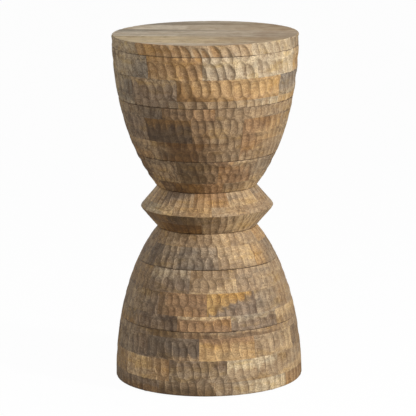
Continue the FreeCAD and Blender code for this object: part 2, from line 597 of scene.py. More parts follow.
    def _store(self, geometry: Term, name: str, value: Term) -> Term:
        """Store a number on every point under a name.

        Args:
            geometry: The geometry.
            name: The name.
            value: The number.

        Returns:
            The geometry with the numbers on it.
        """
        settings = {"data_type": "FLOAT", "domain": "POINT"}
        sockets = {"Geometry": geometry, "Name": name, "Value": value}
        return self.tree.node("GeometryNodeStoreNamedAttribute", settings, sockets)

    def _lay_out(self) -> None:
        """Lay out the tree: a grid rolled up into a ring, closed by its bore.

        The grid's first row is the foot of the bore, and its last two are the head and again the foot.
        The rows between climb the outside, with one at each edge and one close by.
        """
        tree, take = self.tree, self._input
        rows, bottom, top = take("Rows"), take("Bottom"), take("Top")
        grid_sizes = {
            "Size X": FULL_TURN,
            "Size Y": 1.0,
            "Vertices X": take("Columns") + 1.0,
            "Vertices Y": rows + 3.0,
        }
        grid = tree.node("GeometryNodeMeshGrid", None, grid_sizes)
        along, up_grid, _ = tree.parts(tree.node("GeometryNodeInputPosition"))
        turn = along + math.pi + take("First joint")
        row = tree.math("ROUND", (up_grid + 0.5) * (rows + 2.0))
        share = (row - 2.0) / (rows - 3.0)
        margin = take("Edge row")
        climbed = bottom + margin + share * (top - bottom - 2.0 * margin)
        level = tree.math("MAXIMUM", bottom, tree.math("MINIMUM", top, climbed))
        is_last = row > rows + 1.5
        height = level + is_last * (bottom - level)
        is_inside = tree.math("MAXIMUM", row < 0.5, row > rows + 0.5)
        depth, from_ridge, side = self._depth(turn, level)
        low_ease = self._ease(level - bottom, take("Bottom ease"))
        high_ease = self._ease(top - level, take("Top ease"))
        relief = tree.math("MAXIMUM", low_ease * take("Bottom depth"), high_ease * take("Top depth"))
        outside = self._form_radius(level) - tree.math("MAXIMUM", depth, relief) - self.SKIM
        past_joint = tree.math("FLOORED_MODULO", along + math.pi, BLOCK_TURN) - BLOCK_TURN / 2
        inside = take("Bore") / tree.math("COSINE", past_joint)
        radius = outside + is_inside * (inside - outside)
        place = tree.vector(
            radius * tree.math("SINE", turn), -radius * tree.math("COSINE", turn), height
        )
        glue = low_ease * take("Bottom glue") + high_ease * take("Top glue")
        rise = 2.0 * (height - bottom) / (top - bottom) - 1.0
        values = {"cut": depth, "from_ridge": from_ridge, "side": side, "glue": glue, "rise": rise}
        stored = grid
        for name, value in values.items():
            stored = self._store(stored, name, value)
        moved = tree.node("GeometryNodeSetPosition", None, {"Geometry": stored, "Position": place})
        welded = tree.node("GeometryNodeMergeByDistance", None, {"Geometry": moved, "Distance": self.WELD})
        real = tree.node("GeometryNodeRealizeInstances", None, {"Geometry": welded})
        dressed = tree.node("GeometryNodeSetMaterial", None, {"Geometry": real, "Material": take("Finish")})
        tree.node("NodeGroupOutput", None, {"Geometry": dressed})

    def shape(self, name: str, sizes: Mapping[str, float], finish: bpy.types.Material) -> bpy.types.Object:
        """Run the rule once and keep the result as a plain mesh.

        Args:
            name: The new object's name.
            sizes: The values of the tree's named inputs.
            finish: The material to set.

        Returns:
            The object, at the origin, with its shape in its mesh.
        """
        made = add_object(name, bpy.data.meshes.new(name))
        modifier = made.modifiers.new(self.NAME, "NODES")
        modifier.node_group = self.group
        for key in self.WHOLE_INPUTS:
            modifier[self.identifiers[key]] = int(sizes[key])
        for key in self.INPUTS:
            modifier[self.identifiers[key]] = float(sizes[key])
        modifier[self.identifiers["Finish"]] = finish
        evaluated = made.evaluated_get(bpy.context.evaluated_depsgraph_get())
        plain = bpy.data.meshes.new_from_object(evaluated)
        plain.name = name
        made.modifiers.clear()
        made.data = plain
        return made


def angle_of(x: np.ndarray, y: np.ndarray) -> np.ndarray:
    """The turn of points about the axis, from the front towards +X."""
    return np.arctan2(x, -y)


def vertex_table(node: str) -> np.ndarray:
    """The corners of one of the frame's solids, one row each.

    Args:
        node: The solid's name.

    Returns:
        A row of x, y and z for each corner.
    """
    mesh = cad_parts[node].data
    flat = np.zeros(len(mesh.vertices) * 3)
    mesh.vertices.foreach_get("co", flat)
    return flat.reshape(-1, 3)


def outer_radius(node: str, level: float) -> float:
    """The radius of a solid at one of its levels, at its widest.

    Args:
        node: The solid's name.
        level: The height of the level.

    Returns:
        The radius.
    """
    corners = vertex_table(node)
    here = np.abs(corners[:, 2] - level) < SAME_LEVEL
    return float(np.hypot(corners[here, 0], corners[here, 1]).max())


def set_face_values(mesh: bpy.types.Mesh, name: str, values: np.ndarray) -> None:
    """Store a value on every face.

    Args:
        mesh: The mesh.
        name: The value's name.
        values: One row for each face: three numbers for a vector, four for a colour.
    """
    kind, key = ("FLOAT_COLOR", "color") if values.shape[1] == 4 else ("FLOAT_VECTOR", "vector")
    layer = mesh.attributes.new(name, kind, "FACE")
    layer.data.foreach_set(key, values.astype(np.float32).ravel())


def face_centres(mesh: bpy.types.Mesh) -> np.ndarray:
    """The middle of every face, one row each.

    Args:
        mesh: The mesh.

    Returns:
        A row of x, y and z for each face.
    """
    flat = np.zeros(len(mesh.polygons) * 3)
    mesh.polygons.foreach_get("center", flat)
    return flat.reshape(-1, 3)


def shade(mesh: bpy.types.Mesh, sharp_over: float = 60.0) -> None:
    """Shade smooth, with crisp edges where faces fold by more than an angle in degrees."""
    mesh.shade_smooth()
    mesh.set_sharp_from_angle(angle=math.radians(sharp_over))


@dataclass(frozen=True)
class WoodFigure:
    """The figure of a board, laid along its grain.

    FIBRE_DRAW and GRAIN_DRAW say how far the figure is drawn out along the fibres and along the wider
    grain. The PITH sizes place the middle of the growth rings behind the face.

    Attributes:
        ring_spacing: From one growth ring to the next.
        fibre: How many fibres there are to a metre, across the grain.
        pore: How many pores there are to a metre, across the grain.
        half_length: Half a plank's length, or 0 for a block between two mitres.
    """

    ring_spacing: float = 4.2 * MM
    fibre: float = 420.0
    pore: float = 1500.0
    half_length: float = 0.0

    DEPTH_GAIN = 7.0
    TYPICAL_CUT = 1.3 * MM
    SEED_SHIFT = 3.7
    FIBRE_DRAW, GRAIN_DRAW = 0.2, 0.25
    HEART_WOBBLE, HEART_FALL = 0.9, 0.2 / MM
    PITH_DEPTH, PITH_PLAY = 30 * MM, 50 * MM
    PITH_LEVEL, PITH_WOBBLE, PITH_SLOPE = 300 * MM, 12 * MM, 0.12
    PITH_SQUASH = 1.6

    def lay(self, tree: Tree) -> dict[str, Term]:
        """Work the figure out in a finish.

        A gouge cut goes down through the rings, so the figure is read deeper there than the cut is.

        Args:
            tree: The finish's tree.

        Returns:
            The wood's own tone, and shares from 0 to 1 for the parts of the figure, by name.
        """
        x, y, z = tree.parts(tree.node("ShaderNodeTexCoord", None, None, "Object"))
        face_x, face_y, _ = tree.parts(tree.attribute("facing", "Vector"))
        soft, streak, seed = tree.parts(tree.attribute("nature", "Vector"))
        along = y * face_x - x * face_y
        true_out = x * face_x + y * face_y
        shallow = self.TYPICAL_CUT - tree.attribute("cut")
        out = true_out + shallow * self.DEPTH_GAIN
        half = true_out * HALF_MITRE if self.half_length == 0 else self.half_length
        shift = seed * self.SEED_SHIFT
        moved_along, deep, high = along + shift, out + shift, z + seed
        board = tree.vector(moved_along, deep, high)
        drawn = tree.vector(moved_along * self.FIBRE_DRAW, deep, high)
        flat = tree.vector(moved_along * self.GRAIN_DRAW, true_out + shift, high)
        upright = tree.vector(moved_along, true_out + shift, high * self.GRAIN_DRAW)
        noises = {  # where each is read, its swells to a metre, its finer layers and how strong they are
            "wobble": (board, 22.0, 3.0, 0.6),
            "mottle": (board, 34.0, 4.0, 0.6),
            "wear": (board, 60.0, 2.0, 0.5),
            "speckle": (board, 420.0, 2.0, 0.6),
            "streaks": (drawn, 80.0, 4.0, 0.6),
            "fibres": (drawn, self.fibre, 3.0, 0.65),
            "pores": (drawn, self.pore, 1.0, 0.5),
            "filled": (flat, 26.0, 1.0, 0.5),
            "patches": (flat, 60.0, 3.0, 0.6),
            "grain": (flat, 230.0, 3.0, 0.65),
            "strokes": (upright, 85.0, 4.0, 0.75),
        }
        figure = {name: tree.noise(*noise) for name, noise in noises.items()}
        wobble = figure["wobble"] - 0.5
        run_x, run_z, split = tree.parts(tree.attribute("heart_line", "Vector"))
        reach = along / half * run_x + tree.attribute("rise") * run_z
        reach = reach + wobble * self.HEART_WOBBLE + shallow * self.HEART_FALL - split
        heart = (reach / soft * 0.5 + 0.5).step(0.0, 1.0)
        pith_out = out + self.PITH_DEPTH + self.PITH_PLAY * seed
        pith_up = z - self.PITH_LEVEL + wobble * self.PITH_WOBBLE
        pith_up = pith_up + along * (seed - 0.5) * self.PITH_SLOPE
        from_pith = tree.math("SQRT", pith_out * pith_out + pith_up * pith_up * self.PITH_SQUASH)
        rings = tree.math("SINE", from_pith * (FULL_TURN / self.ring_spacing)) * 0.5 + 0.5
        figure |= {
            "tone": tree.mix(tree.attribute("tone", "Color"), tree.attribute("other_tone", "Color"), heart),
            "rings": rings * rings,
            "streaks": figure["streaks"].step(0.54, 0.7) * streak,
            "pores": figure["pores"].step(0.62, 0.72),
            "joint": (half - abs(along)).step(0.45 * MM, 0.1 * MM),
            "coarse": streak,
        }
        return figure


@dataclass(frozen=True)
class Mark:
    """A mark in the wood that lightens or darkens it.

    Attributes:
        part: The part of the figure that makes it.
        start: Where in that part it starts, from 0 to 1, or None where the part is the mark itself.
        full: Where it is whole.
        share: How strong it is there.
        gain: How much stronger it is in the coarsest wood.
        is_pale: Whether it lightens the wood.
    """

    part: str
    start: float | None
    full: float | None
    share: float
    gain: float = 0.0
    is_pale: bool = False

    def strength(self, figure: Mapping[str, Term]) -> Term:
        """How strong the mark is.

        Args:
            figure: The parts of the figure by name.

        Returns:
            The share from 0 to 1.
        """
        part = figure[self.part]
        if self.start is not None:
            part = part.step(self.start, self.full)
        return part * (self.share + figure["coarse"] * self.gain if self.gain else self.share)


@dataclass(frozen=True)
class Finish:
    """What every finish has.

    Attributes:
        name: The material's name.
    """

    name: str

    def material(self) -> bpy.types.Material:
        """Make the finish as a material.

        Returns:
            The material.
        """
        made = bpy.data.materials.new(self.name)
        made.use_nodes = True
        tree = Tree(made.node_tree)
        surface = self.surface(tree)
        tree.node("ShaderNodeOutputMaterial", None, {"Surface": surface})
        return made

    def surface(self, tree: Tree) -> Term:
        """Lay out the finish.

        Args:
            tree: The material's tree.

        Returns:
            The surface shader.
        """
        raise NotImplementedError


@dataclass(frozen=True)
class CarvedWood(Finish):
    """Hand-gouged hardwood, oiled and lightly limed, coloured block by block.

    WARM and COOL tint its patches, and SHADE its darker marks and the painted shade on the right part
    of each cut. LIGHTEN says how much lighter its pale marks are than the wood, and WEAR
    how much lighter its ridges are where they are rubbed and where a painted highlight lies on the slope
    that faces the key lamp.

    Attributes:
        figure: The figure of its blocks.
        dirt: The colour of the pores and the mitre joints, and of the painted shade in the band
        just inside each ridge.
        glue: The colour of the glue lines.
        mineral: The colour of mineral streaks.
        roughness: How matt it is.
    """

    figure: WoodFigure = WoodFigure()
    dirt: tuple[int, int, int] = (60, 44, 30)
    glue: tuple[int, int, int] = (58, 38, 22)
    mineral: tuple[int, int, int] = (74, 66, 58)
    roughness: float = 0.62

    WARM, COOL, SHADE = (250, 236, 186), (206, 212, 224), (146, 124, 102)
    LIGHTEN, WEAR = 1.5, 1.7
    RELIEF, GLOSS = (0.45, 0.35 * MM), {"Specular IOR Level": 0.35}
    MARKS = (
        Mark("mottle", 0.45, 0.75, 0.4, is_pale=True),
        Mark("mottle", 0.55, 0.25, 0.45),
        Mark("rings", None, None, 0.22),
        Mark("grain", 0.52, 0.72, 0.45, is_pale=True),
        Mark("grain", 0.5, 0.3, 0.45),
        Mark("strokes", 0.52, 0.68, 0.15, gain=0.6, is_pale=True),
        Mark("strokes", 0.5, 0.34, 0.2, gain=0.65),
        Mark("fibres", 0.52, 0.3, 0.5),
        Mark("fibres", 0.55, 0.75, 0.45, is_pale=True),
        Mark("speckle", 0.5, 0.32, 0.5),
        Mark("speckle", 0.55, 0.72, 0.5, is_pale=True),
    )

    def surface(self, tree: Tree) -> Term:
        """Lay out the finish.

        Args:
            tree: The material's tree.

        Returns:
            The surface shader.
        """
        figure = self.figure.lay(tree)
        tone, patches, coarse = figure["tone"], figure["patches"], figure["coarse"]
        tone = tree.mix(tone, linear(self.WARM), patches.step(0.5, 0.7) * 0.6, "MULTIPLY")
        tone = tree.mix(tone, linear(self.COOL), patches.step(0.5, 0.3) * 0.6, "MULTIPLY")
        lighter = tree.scale(tone, self.LIGHTEN)
        darker = tree.mix(tone, linear(self.SHADE), 1.0, "MULTIPLY")
        for mark in self.MARKS:
            tone = tree.mix(tone, lighter if mark.is_pale else darker, mark.strength(figure))
        side, from_ridge = tree.attribute("side"), tree.attribute("from_ridge")
        deep = tree.attribute("cut").step(0.4 * MM, 1.6 * MM)
        near_ridge, clear_of_ridge = (0.5 * MM, 0.05 * MM), (0.05 * MM, 0.3 * MM)
        # Mask of a painted highlight, partly rubbed wear: patches of the slope just right of each ridge,
        # which faces the key lamp.
        worn_and_lit = from_ridge.step(*near_ridge) * side.step(0.0, -0.3) * figure["wear"].step(0.3, 0.55)
        # Painted shade: a dark band just inside each ridge, strongest on each cut's right wall, which faces
        # away from the key lamp, and stronger in deep cuts and on coarse blocks.
        ridge_band = from_ridge.step(*clear_of_ridge) * from_ridge.step(1.6 * MM, 0.5 * MM)
        band_shade = (0.13 + side.step(0.0, 0.3) * (0.2 + deep * 0.36)) * (0.6 + coarse * 0.8)
        dirt = linear(self.dirt)
        tone = tree.mix(tone, linear(self.mineral), figure["streaks"] * 0.55)
        tone = tree.mix(tone, dirt, figure["pores"] * 0.12)
        # Painted shade: the right part of each cut, which faces away from the key lamp, is darkened, more so
        # in deep cuts.
        tone = tree.mix(tone, darker, side.step(-0.1, 0.45) * (0.1 + deep * 0.18))
        # Painted highlight: the ridge slopes that face the key lamp made paler, partly as rubbed wear.
        tone = tree.mix(tone, tree.scale(tone, self.WEAR), worn_and_lit * 0.9)
        # The painted shade band just inside the ridges.
        tone = tree.mix(tone, dirt, ridge_band * band_shade)
        tone = tree.mix(tone, dirt, figure["joint"] * 0.4)
        stain = tree.attribute("glue").step(0.05, 0.5) * (0.3 + figure["filled"].step(0.35, 0.55) * 0.65)
        tone = tree.mix(tone, linear(self.glue), stain)
        height = figure["fibres"] * 0.5 + figure["speckle"] * 0.35 - figure["pores"] * 0.5
        roughness = self.roughness + (figure["fibres"] - 0.5) * 0.25
        return tree.coat(tone, roughness, height, self.RELIEF, self.GLOSS)


@dataclass(frozen=True)
class SandedWood(Finish):
    """The table's top: the same wood sanded smooth, a little paler and with its figure plain to see.

    RING_SHADE and FIBRE_SHADE tint its late wood and its darker fibres.

    Attributes:
        figure: The figure of its planks.
        bloom: The pale lime left in the grain.
        dirt: The colour of the pores.
        roughness: How matt it is.
    """

    figure: WoodFigure = WoodFigure(ring_spacing=6 * MM, fibre=300.0, half_length=HALF_PLANK)
    bloom: tuple[int, int, int] = (200, 190, 168)
    dirt: tuple[int, int, int] = (86, 68, 50)
    roughness: float = 0.74

    RING_SHADE, FIBRE_SHADE, MINERAL = (196, 178, 154), (170, 152, 130), (120, 108, 94)
    RELIEF, GLOSS = (0.12, 0.2 * MM), {"Specular IOR Level": 0.22}

    def surface(self, tree: Tree) -> Term:
        """Lay out the finish.

        Args:
            tree: The material's tree.

        Returns:
            The surface shader.
        """
        figure = self.figure.lay(tree)
        fibres = figure["fibres"]
        tone = tree.mix(figure["tone"], linear(self.bloom), figure["mottle"].step(0.45, 0.8) * 0.35)
        tone = tree.mix(tone, linear(self.RING_SHADE), figure["rings"] * 0.45, "MULTIPLY")
        tone = tree.mix(tone, linear(self.FIBRE_SHADE), fibres.step(0.52, 0.3) * 0.6, "MULTIPLY")
        tone = tree.mix(tone, linear(self.MINERAL), figure["streaks"] * 0.4)
        tone = tree.mix(tone, linear(self.dirt), figure["pores"] * 0.22)
        height = fibres * 0.4 - figure["pores"] * 0.6
        return tree.coat(tone, self.roughness + (fibres - 0.5) * 0.12, height, self.RELIEF, self.GLOSS)


@dataclass(frozen=True)
class RawWood(Finish):
    """Plain planed wood that is left bare, under the foot and inside the waist.

    Attributes:
        pale: The colour of the early wood.
        dark: The colour of the late wood.
        upright: Whether the grain runs up, not across.
    """

    pale: tuple[int, int, int] = (196, 168, 128)
    dark: tuple[int, int, int] = (150, 118, 82)
    upright: bool = False

    FIBRE_SHADE = (150, 124, 96)
    RING_SPACING = 7 * MM
    RELIEF = (0.3, 0.3 * MM)

    def surface(self, tree: Tree) -> Term:
        """Lay out the finish.

        Args:
            tree: The material's tree.

        Returns:
            The surface shader.
        """
        x, y, z = tree.parts(tree.node("ShaderNodeTexCoord", None, None, "Object"))
        along, wide, deep = (z, x, y) if self.upright else (x, y, z)
        board = tree.vector(along * 0.12, wide, deep)
        swirl = tree.noise(board, 30.0, 3.0, 0.55)
        rings = tree.math("SINE", (wide + swirl * 0.03) * (FULL_TURN / self.RING_SPACING)) * 0.5 + 0.5
        fibres = tree.noise(board, 420.0, 3.0, 0.6)
        tone = tree.mix(linear(self.pale), linear(self.dark), rings * 0.55)
        tone = tree.mix(tone, linear(self.FIBRE_SHADE), fibres.step(0.52, 0.3) * 0.7, "MULTIPLY")
        return tree.coat(tone, 0.75 + (fibres - 0.5) * 0.2, fibres, self.RELIEF, {})


@dataclass(frozen=True)
class Felt(Finish):
    """Pressed wool felt.

    Attributes:
        tone: Its colour.
    """

    tone: tuple[int, int, int] = (112, 96, 80)

    LINT, HOLLOW = (150, 136, 118), (120, 110, 98)
    RELIEF, SHEEN = (0.7, 0.4 * MM), {"Sheen Weight": 0.3}

    def surface(self, tree: Tree) -> Term:
        """Lay out the finish.

        Args:
            tree: The material's tree.

        Returns:
            The surface shader.
        """
        place = tree.node("ShaderNodeTexCoord", None, None, "Object")
        lint = tree.noise(place, 2400.0, 4.0, 0.7)
        clumps = tree.noise(place, 300.0, 3.0, 0.6)
        tone = tree.mix(linear(self.tone), linear(self.LINT), lint.step(0.5, 0.75) * 0.5)
        tone = tree.mix(tone, linear(self.HOLLOW), clumps.step(0.55, 0.3) * 0.6, "MULTIPLY")
        return tree.coat(tone, 0.95, lint * 0.6 + clumps * 0.4, self.RELIEF, self.SHEEN)


@dataclass(frozen=True)
class FloorPaint(Finish):
    """The pale studio floor, which the camera sees as nearly white with the table's shadow on it.

    Attributes:
        tone: Its colour as a share of white.
        bounce: Its colour for the light that it throws back on the table.
        lift: How much of what the camera sees is plain white.
    """

    tone: float = 0.9
    bounce: float = 0.65
    lift: float = 0.975

    def surface(self, tree: Tree) -> Term:
        """Lay out the finish.

        Args:
            tree: The material's tree.

        Returns:
            The surface shader.
        """
        seen = tree.node("ShaderNodeLightPath", None, None, "Is Camera Ray")
        pale, plain = (self.tone,) * 3 + (1.0,), (self.bounce,) * 3 + (1.0,)
        matt = tree.node("ShaderNodeBsdfDiffuse", None, {"Color": tree.mix(plain, pale, seen)})
        white = tree.node("ShaderNodeEmission", None, {"Strength": 1.0})
        return tree.node("ShaderNodeMixShader", None, {0: seen * self.lift, 1: matt, 2: white})


# The carved stretches from the foot up: each was gouged in rows of its own.
FOOT_CARVING = Carving(76 * MM, 31 * MM, 13.7 * MM, 1.1 * MM, wall=0.7 * MM, stretch=0.5, seed=11)
SHOULDER_CARVING = Carving(113 * MM, 20 * MM, 13.5 * MM, 1.15 * MM, wall=0.75 * MM, stretch=0.75, seed=12)
NECK_CARVING = Carving(206.5 * MM, 18.5 * MM, 13 * MM, 1.15 * MM, wall=0.8 * MM, stretch=0.7, seed=13)
LOW_BEVEL_CARVING = Carving(
    266 * MM, 36 * MM, 13 * MM, 1.6 * MM, wall=1.4 * MM, stretch=0.2, lean=0.0, seed=14
)
HIGH_BEVEL_CARVING = Carving(
    306 * MM, 40 * MM, 11.6 * MM, 1.0 * MM, wall=0.65 * MM, stretch=0.38, lean=0.0, seed=15
)
THROAT_CARVING = Carving(325 * MM, 17.3 * MM, 12 * MM, 1.6 * MM, wall=1.15 * MM, stretch=0.75, seed=16)
BOWL_CARVING = Carving(404 * MM, 27 * MM, 13 * MM, 1.5 * MM, wall=1.05 * MM, stretch=0.52, seed=17)
RIM_CARVING = Carving(
    492 * MM, 28.5 * MM, 15.7 * MM, 2.5 * MM, wall=1.6 * MM, stretch=0.62, lean=0.14, lean_gain=0.12,
    bend=20.0, tilt=0.18, seed=18
)

T = Tone

# The wood of each course's blocks that face the front half, from left to right as seen from the front.
FRONT_TIMBER: dict[str, tuple[Timber, ...]] = {
    "lower_ring_1": (
        Timber(T.GREY), Timber(T.BROWN, T.GREY, 90, 0.0, streaks=0.5), Timber(T.OLIVE, T.FAWN, 90, 0.2, 0.5),
        Timber(T.GREY_TAN, T.CREAM, 0, 0.1, 0.7), Timber(T.CREAM, T.CARAMEL, 0, -0.1, 0.1), Timber(T.CARAMEL),
    ),
    "lower_ring_2": (
        Timber(T.TAN), Timber(T.CARAMEL, T.BUFF, 180, -0.35, 0.6),
        Timber(T.GREY_TAN, T.GREY, 90, 0.3, 0.3, 0.7), Timber(T.PEACH, T.CREAM, 100, 0.2),
        Timber(T.PEACH, T.STRAW, -60, 0.5, streaks=0.2), Timber(T.PEACH),
    ),
    "lower_ring_3": (
        Timber(T.FAWN), Timber(T.GREY, T.GREY_TAN, 180, 0.0, 0.5, 0.6),
        Timber(T.DARK_GREY, T.TAN, -70, 1.0, 0.2, 0.6), Timber(T.GOLD, T.RUSSET, 90, 0.6, 0.4, 0.0),
        Timber(T.PEACH, T.STRAW, 0, 0.5, 0.5), Timber(T.FAWN),
    ),
    "lower_ring_4": (
        Timber(T.TAN), Timber(T.GREY_TAN, T.PEACH, 180, 0.3), Timber(T.OLIVE, T.GREY, 180, 0.3, 0.5),
        Timber(T.BROWN, T.FAWN, 70, 0.3), Timber(T.BROWN, T.TAN, 60, 0.1), Timber(T.PEACH),
    ),
    "lower_ring_5": (
        Timber(T.GREY_TAN, T.TAN, -90, 0.3), Timber(T.GREY, T.UMBER, 0, 0.7, 0.4),
        Timber(T.RUSSET, T.STRAW, 90, 0.9, 0.15), Timber(T.GREY, T.MIST, 90, 0.5, 0.2, 0.6),
        Timber(T.TAN, T.STRAW, 90, 0.1, 0.5), Timber(T.TAN),
    ),
    "lower_ring_6": (
        Timber(T.GREY_TAN), Timber(T.GREY_TAN, T.GREY, 0, 0.4, streaks=0.6),
        Timber(T.RUSSET, T.BROWN, 180, 0.7, streaks=0.2), Timber(T.OCHRE, T.GREY, -50, 0.15, 0.15, 0.6),
        Timber(T.GREY_TAN, T.TAN, 0, 0.3), Timber(T.PEACH),
    ),
    "lower_ring_7": (
        Timber(T.TAN), Timber(T.FAWN), Timber(T.GREY, T.MIST, 90, 0.2, 0.5, 0.5),
        Timber(T.FAWN, T.STRAW, -50, 0.65), Timber(T.PEACH, T.TAN, 180, 0.3), Timber(T.PEACH),
    ),
    "lower_ring_8": (
        Timber(T.GREY_TAN), Timber(T.DARK_GREY, T.GREY_TAN, 0, 0.0, 0.6, 0.6),
        Timber(T.BLUE_GREY, T.GREY_TAN, 30, 0.5, 0.3, 0.8), Timber(T.FAWN, T.STRAW, 60, -0.1, 0.5, 0.1),
        Timber(T.HONEY, T.GREY_TAN, 0, 0.0, 0.7, 0.3), Timber(T.GREY_TAN),
    ),
    "lower_ring_9": (
        Timber(T.GREY_TAN), Timber(T.PEACH, T.TAN, 0, 0.2), Timber(T.FAWN, T.PEACH, 180, 0.4),
        Timber(T.FAWN, T.STRAW, 0, 0.2, 0.6), Timber(T.PEACH, T.TAN, 180, 0.4), Timber(T.HONEY),
    ),
    "collar_ring_1": (
        Timber(T.TAN), Timber(T.AMBER, T.HONEY, 180, 0.1, 0.7), Timber(T.DARK_BROWN, T.AMBER, -60, 0.3),
        Timber(T.TAN, T.STRAW, 0, 0.4), Timber(T.STRAW, T.BUFF, 0, 0.0), Timber(T.BUFF),
    ),
    "collar_ring_2": (
        Timber(T.BROWN), Timber(T.BROWN, T.UMBER, 0, 0.3, 0.5), Timber(T.FAWN, T.OLIVE, 180, 0.2, 0.4),
        Timber(T.TAN, T.STRAW, 0, -0.2, 0.4), Timber(T.STRAW), Timber(T.HONEY),
    ),
    "collar_ring_3": (
        Timber(T.MIST), Timber(T.STRAW, T.CREAM, 180, 0.0), Timber(T.HONEY, T.TAN, 180, 0.6, 0.4),
        Timber(T.TAN, T.PEACH, 180, 0.4), Timber(T.TAN, T.PEACH, -60, 0.1), Timber(T.PEACH),
    ),
    "collar_ring_4": (
        Timber(T.MIST), Timber(T.PEACH, T.BUFF, 180, 0.0), Timber(T.TAN, T.GREY, 130, 0.1, 0.4),
        Timber(T.CARAMEL, T.RUSSET, 90, 0.3), Timber(T.PEACH, T.STRAW, -70, 0.2),
        Timber(T.GREY_TAN, T.TAN, -90, 0.0),
    ),
    "upper_ring_1": (
        Timber(T.HONEY), Timber(T.BROWN, T.AMBER, 0, 0.0), Timber(T.AMBER, T.RUSSET, 0, 0.1, 0.6),
        Timber(T.FAWN, T.STRAW, 0, 0.3, 0.6), Timber(T.STRAW, T.TAN, 0, 0.5), Timber(T.TAN),
    ),
    "upper_ring_2": (
        Timber(T.BROWN), Timber(T.TAN, T.FAWN, 0, 0.3), Timber(T.OLIVE, T.BROWN, 0, 0.5, 0.4, 0.6),
        Timber(T.RUSSET, T.PEACH, 45, 0.5, streaks=0.5), Timber(T.GREY_TAN, T.PEACH, -90, 0.2),
        Timber(T.BROWN, T.TAN, 0, 0.0),
    ),
    "upper_ring_3": (
        Timber(T.FAWN), Timber(T.TAN, T.CARAMEL, -90, 0.2), Timber(T.DARK_BROWN, T.FAWN, 180, 0.35, 0.5, 0.2),
        Timber(T.DARK_BROWN, T.FAWN, -20, -0.1, 0.9, 0.2), Timber(T.TAN, T.RUSSET, 150, 0.5), Timber(T.PEACH),
    ),
    "upper_ring_4": (
        Timber(T.GREY_TAN), Timber(T.GREY, T.GREY_TAN, 180, 0.3),
        Timber(T.UMBER, T.AMBER, 90, 0.5, 0.35, 0.4), Timber(T.FAWN, T.BROWN, 180, 0.25),
        Timber(T.RUSSET, T.HONEY, -20, 0.2, 0.4), Timber(T.PEACH, T.STRAW, -90, 0.3),
    ),
    "upper_ring_5": (
        Timber(T.GREY_TAN), Timber(T.DARK_GREY, T.GREY_TAN, 180, 0.1, 0.5), Timber(T.BROWN, T.RUSSET, 0, 0.4),
        Timber(T.FAWN, T.TAN, 0, 0.4), Timber(T.PEACH, T.DARK_GREY, -90, 1.1, 0.15), Timber(T.PEACH),
    ),
    "upper_ring_6": (
        Timber(T.GREY_TAN), Timber(T.PEWTER, T.MIST, -90, 0.1), Timber(T.GREY, T.GREY_TAN, 0, 0.3),
        Timber(T.FAWN, T.TAN, 0, 0.2), Timber(T.PEACH, T.CREAM, 0, 0.2, 0.5), Timber(T.STRAW),
    ),
    "upper_ring_7": (
        Timber(T.MIST, T.PEWTER, 0, 0.2), Timber(T.GREY, T.PEACH, 90, 0.3, 0.3, 0.5),
        Timber(T.HONEY, T.AMBER, 215, 0.15, 0.8, 0.0), Timber(T.GOLD, T.CARAMEL, 225, 0.6, 0.5, 0.0),
        Timber(T.ASH, T.MIST, -90, 0.4, 0.3, 0.5), Timber(T.GREY),
    ),
    "upper_ring_8": (
        Timber(T.MIST), Timber(T.PEWTER, T.MIST, 160, -0.2, 0.7, 0.6), Timber(T.CARAMEL, T.HONEY, -90, 0.6),
        Timber(T.MIST, T.CREAM, 30, 0.15, 0.5, 0.4), Timber(T.MIST, T.CREAM, 0, -0.3, 0.6, 0.2),
        Timber(T.STRAW),
    ),
}

# What the seeded choice for the blocks behind picks from.
BACK_TONES = (
    T.TAN, T.GREY_TAN, T.GREY, T.HONEY, T.FAWN, T.PEACH, T.BLUE_GREY, T.BROWN, T.RUSSET, T.OLIVE, T.STRAW,
)
BACK_DIRECTIONS = (0, 60, 90, -60, -90, 180)

# How coarse the leftmost blocks are at least, and how coarse in the courses near the floor and the waist.
# Their stronger streaks, strokes and painted shade stand in for the shading of the cuts on the table's left
# side, which the lamps barely light.
LEFT_BLOCKS = 2
LEAST_COARSE = 0.85
LEAST_COARSE_IF_FINE = 0.3

# The top board's planks from front to back: the wood of the carved rim, then of the sanded face.
RIM_TIMBER = (
    Timber(T.CARAMEL, T.PEACH, 0, 0.0, 0.12, 0.15),
    Timber(T.MIST, T.CREAM, 0, 0.75, 0.3, 0.0),
    Timber(T.MIST),
    Timber(T.TAN),
    Timber(T.HONEY),
)
FACE_TIMBER = (
    Timber(T.LIMED, T.GREY, 0, 0.2, 1.2, 0.1),
    Timber(T.CREAM, T.GREY_TAN, 0, 0.2, 0.7, 0.2),
    Timber(T.LIMED, T.GREY, 0, 0.4, 1.4, 0.1),
    Timber(T.LIMED, T.GREY_TAN, 0, 0.1, 0.6, 0.2),
    Timber(T.LIMED, T.MIST, 0, 0.2, 0.5, 0.1),
)


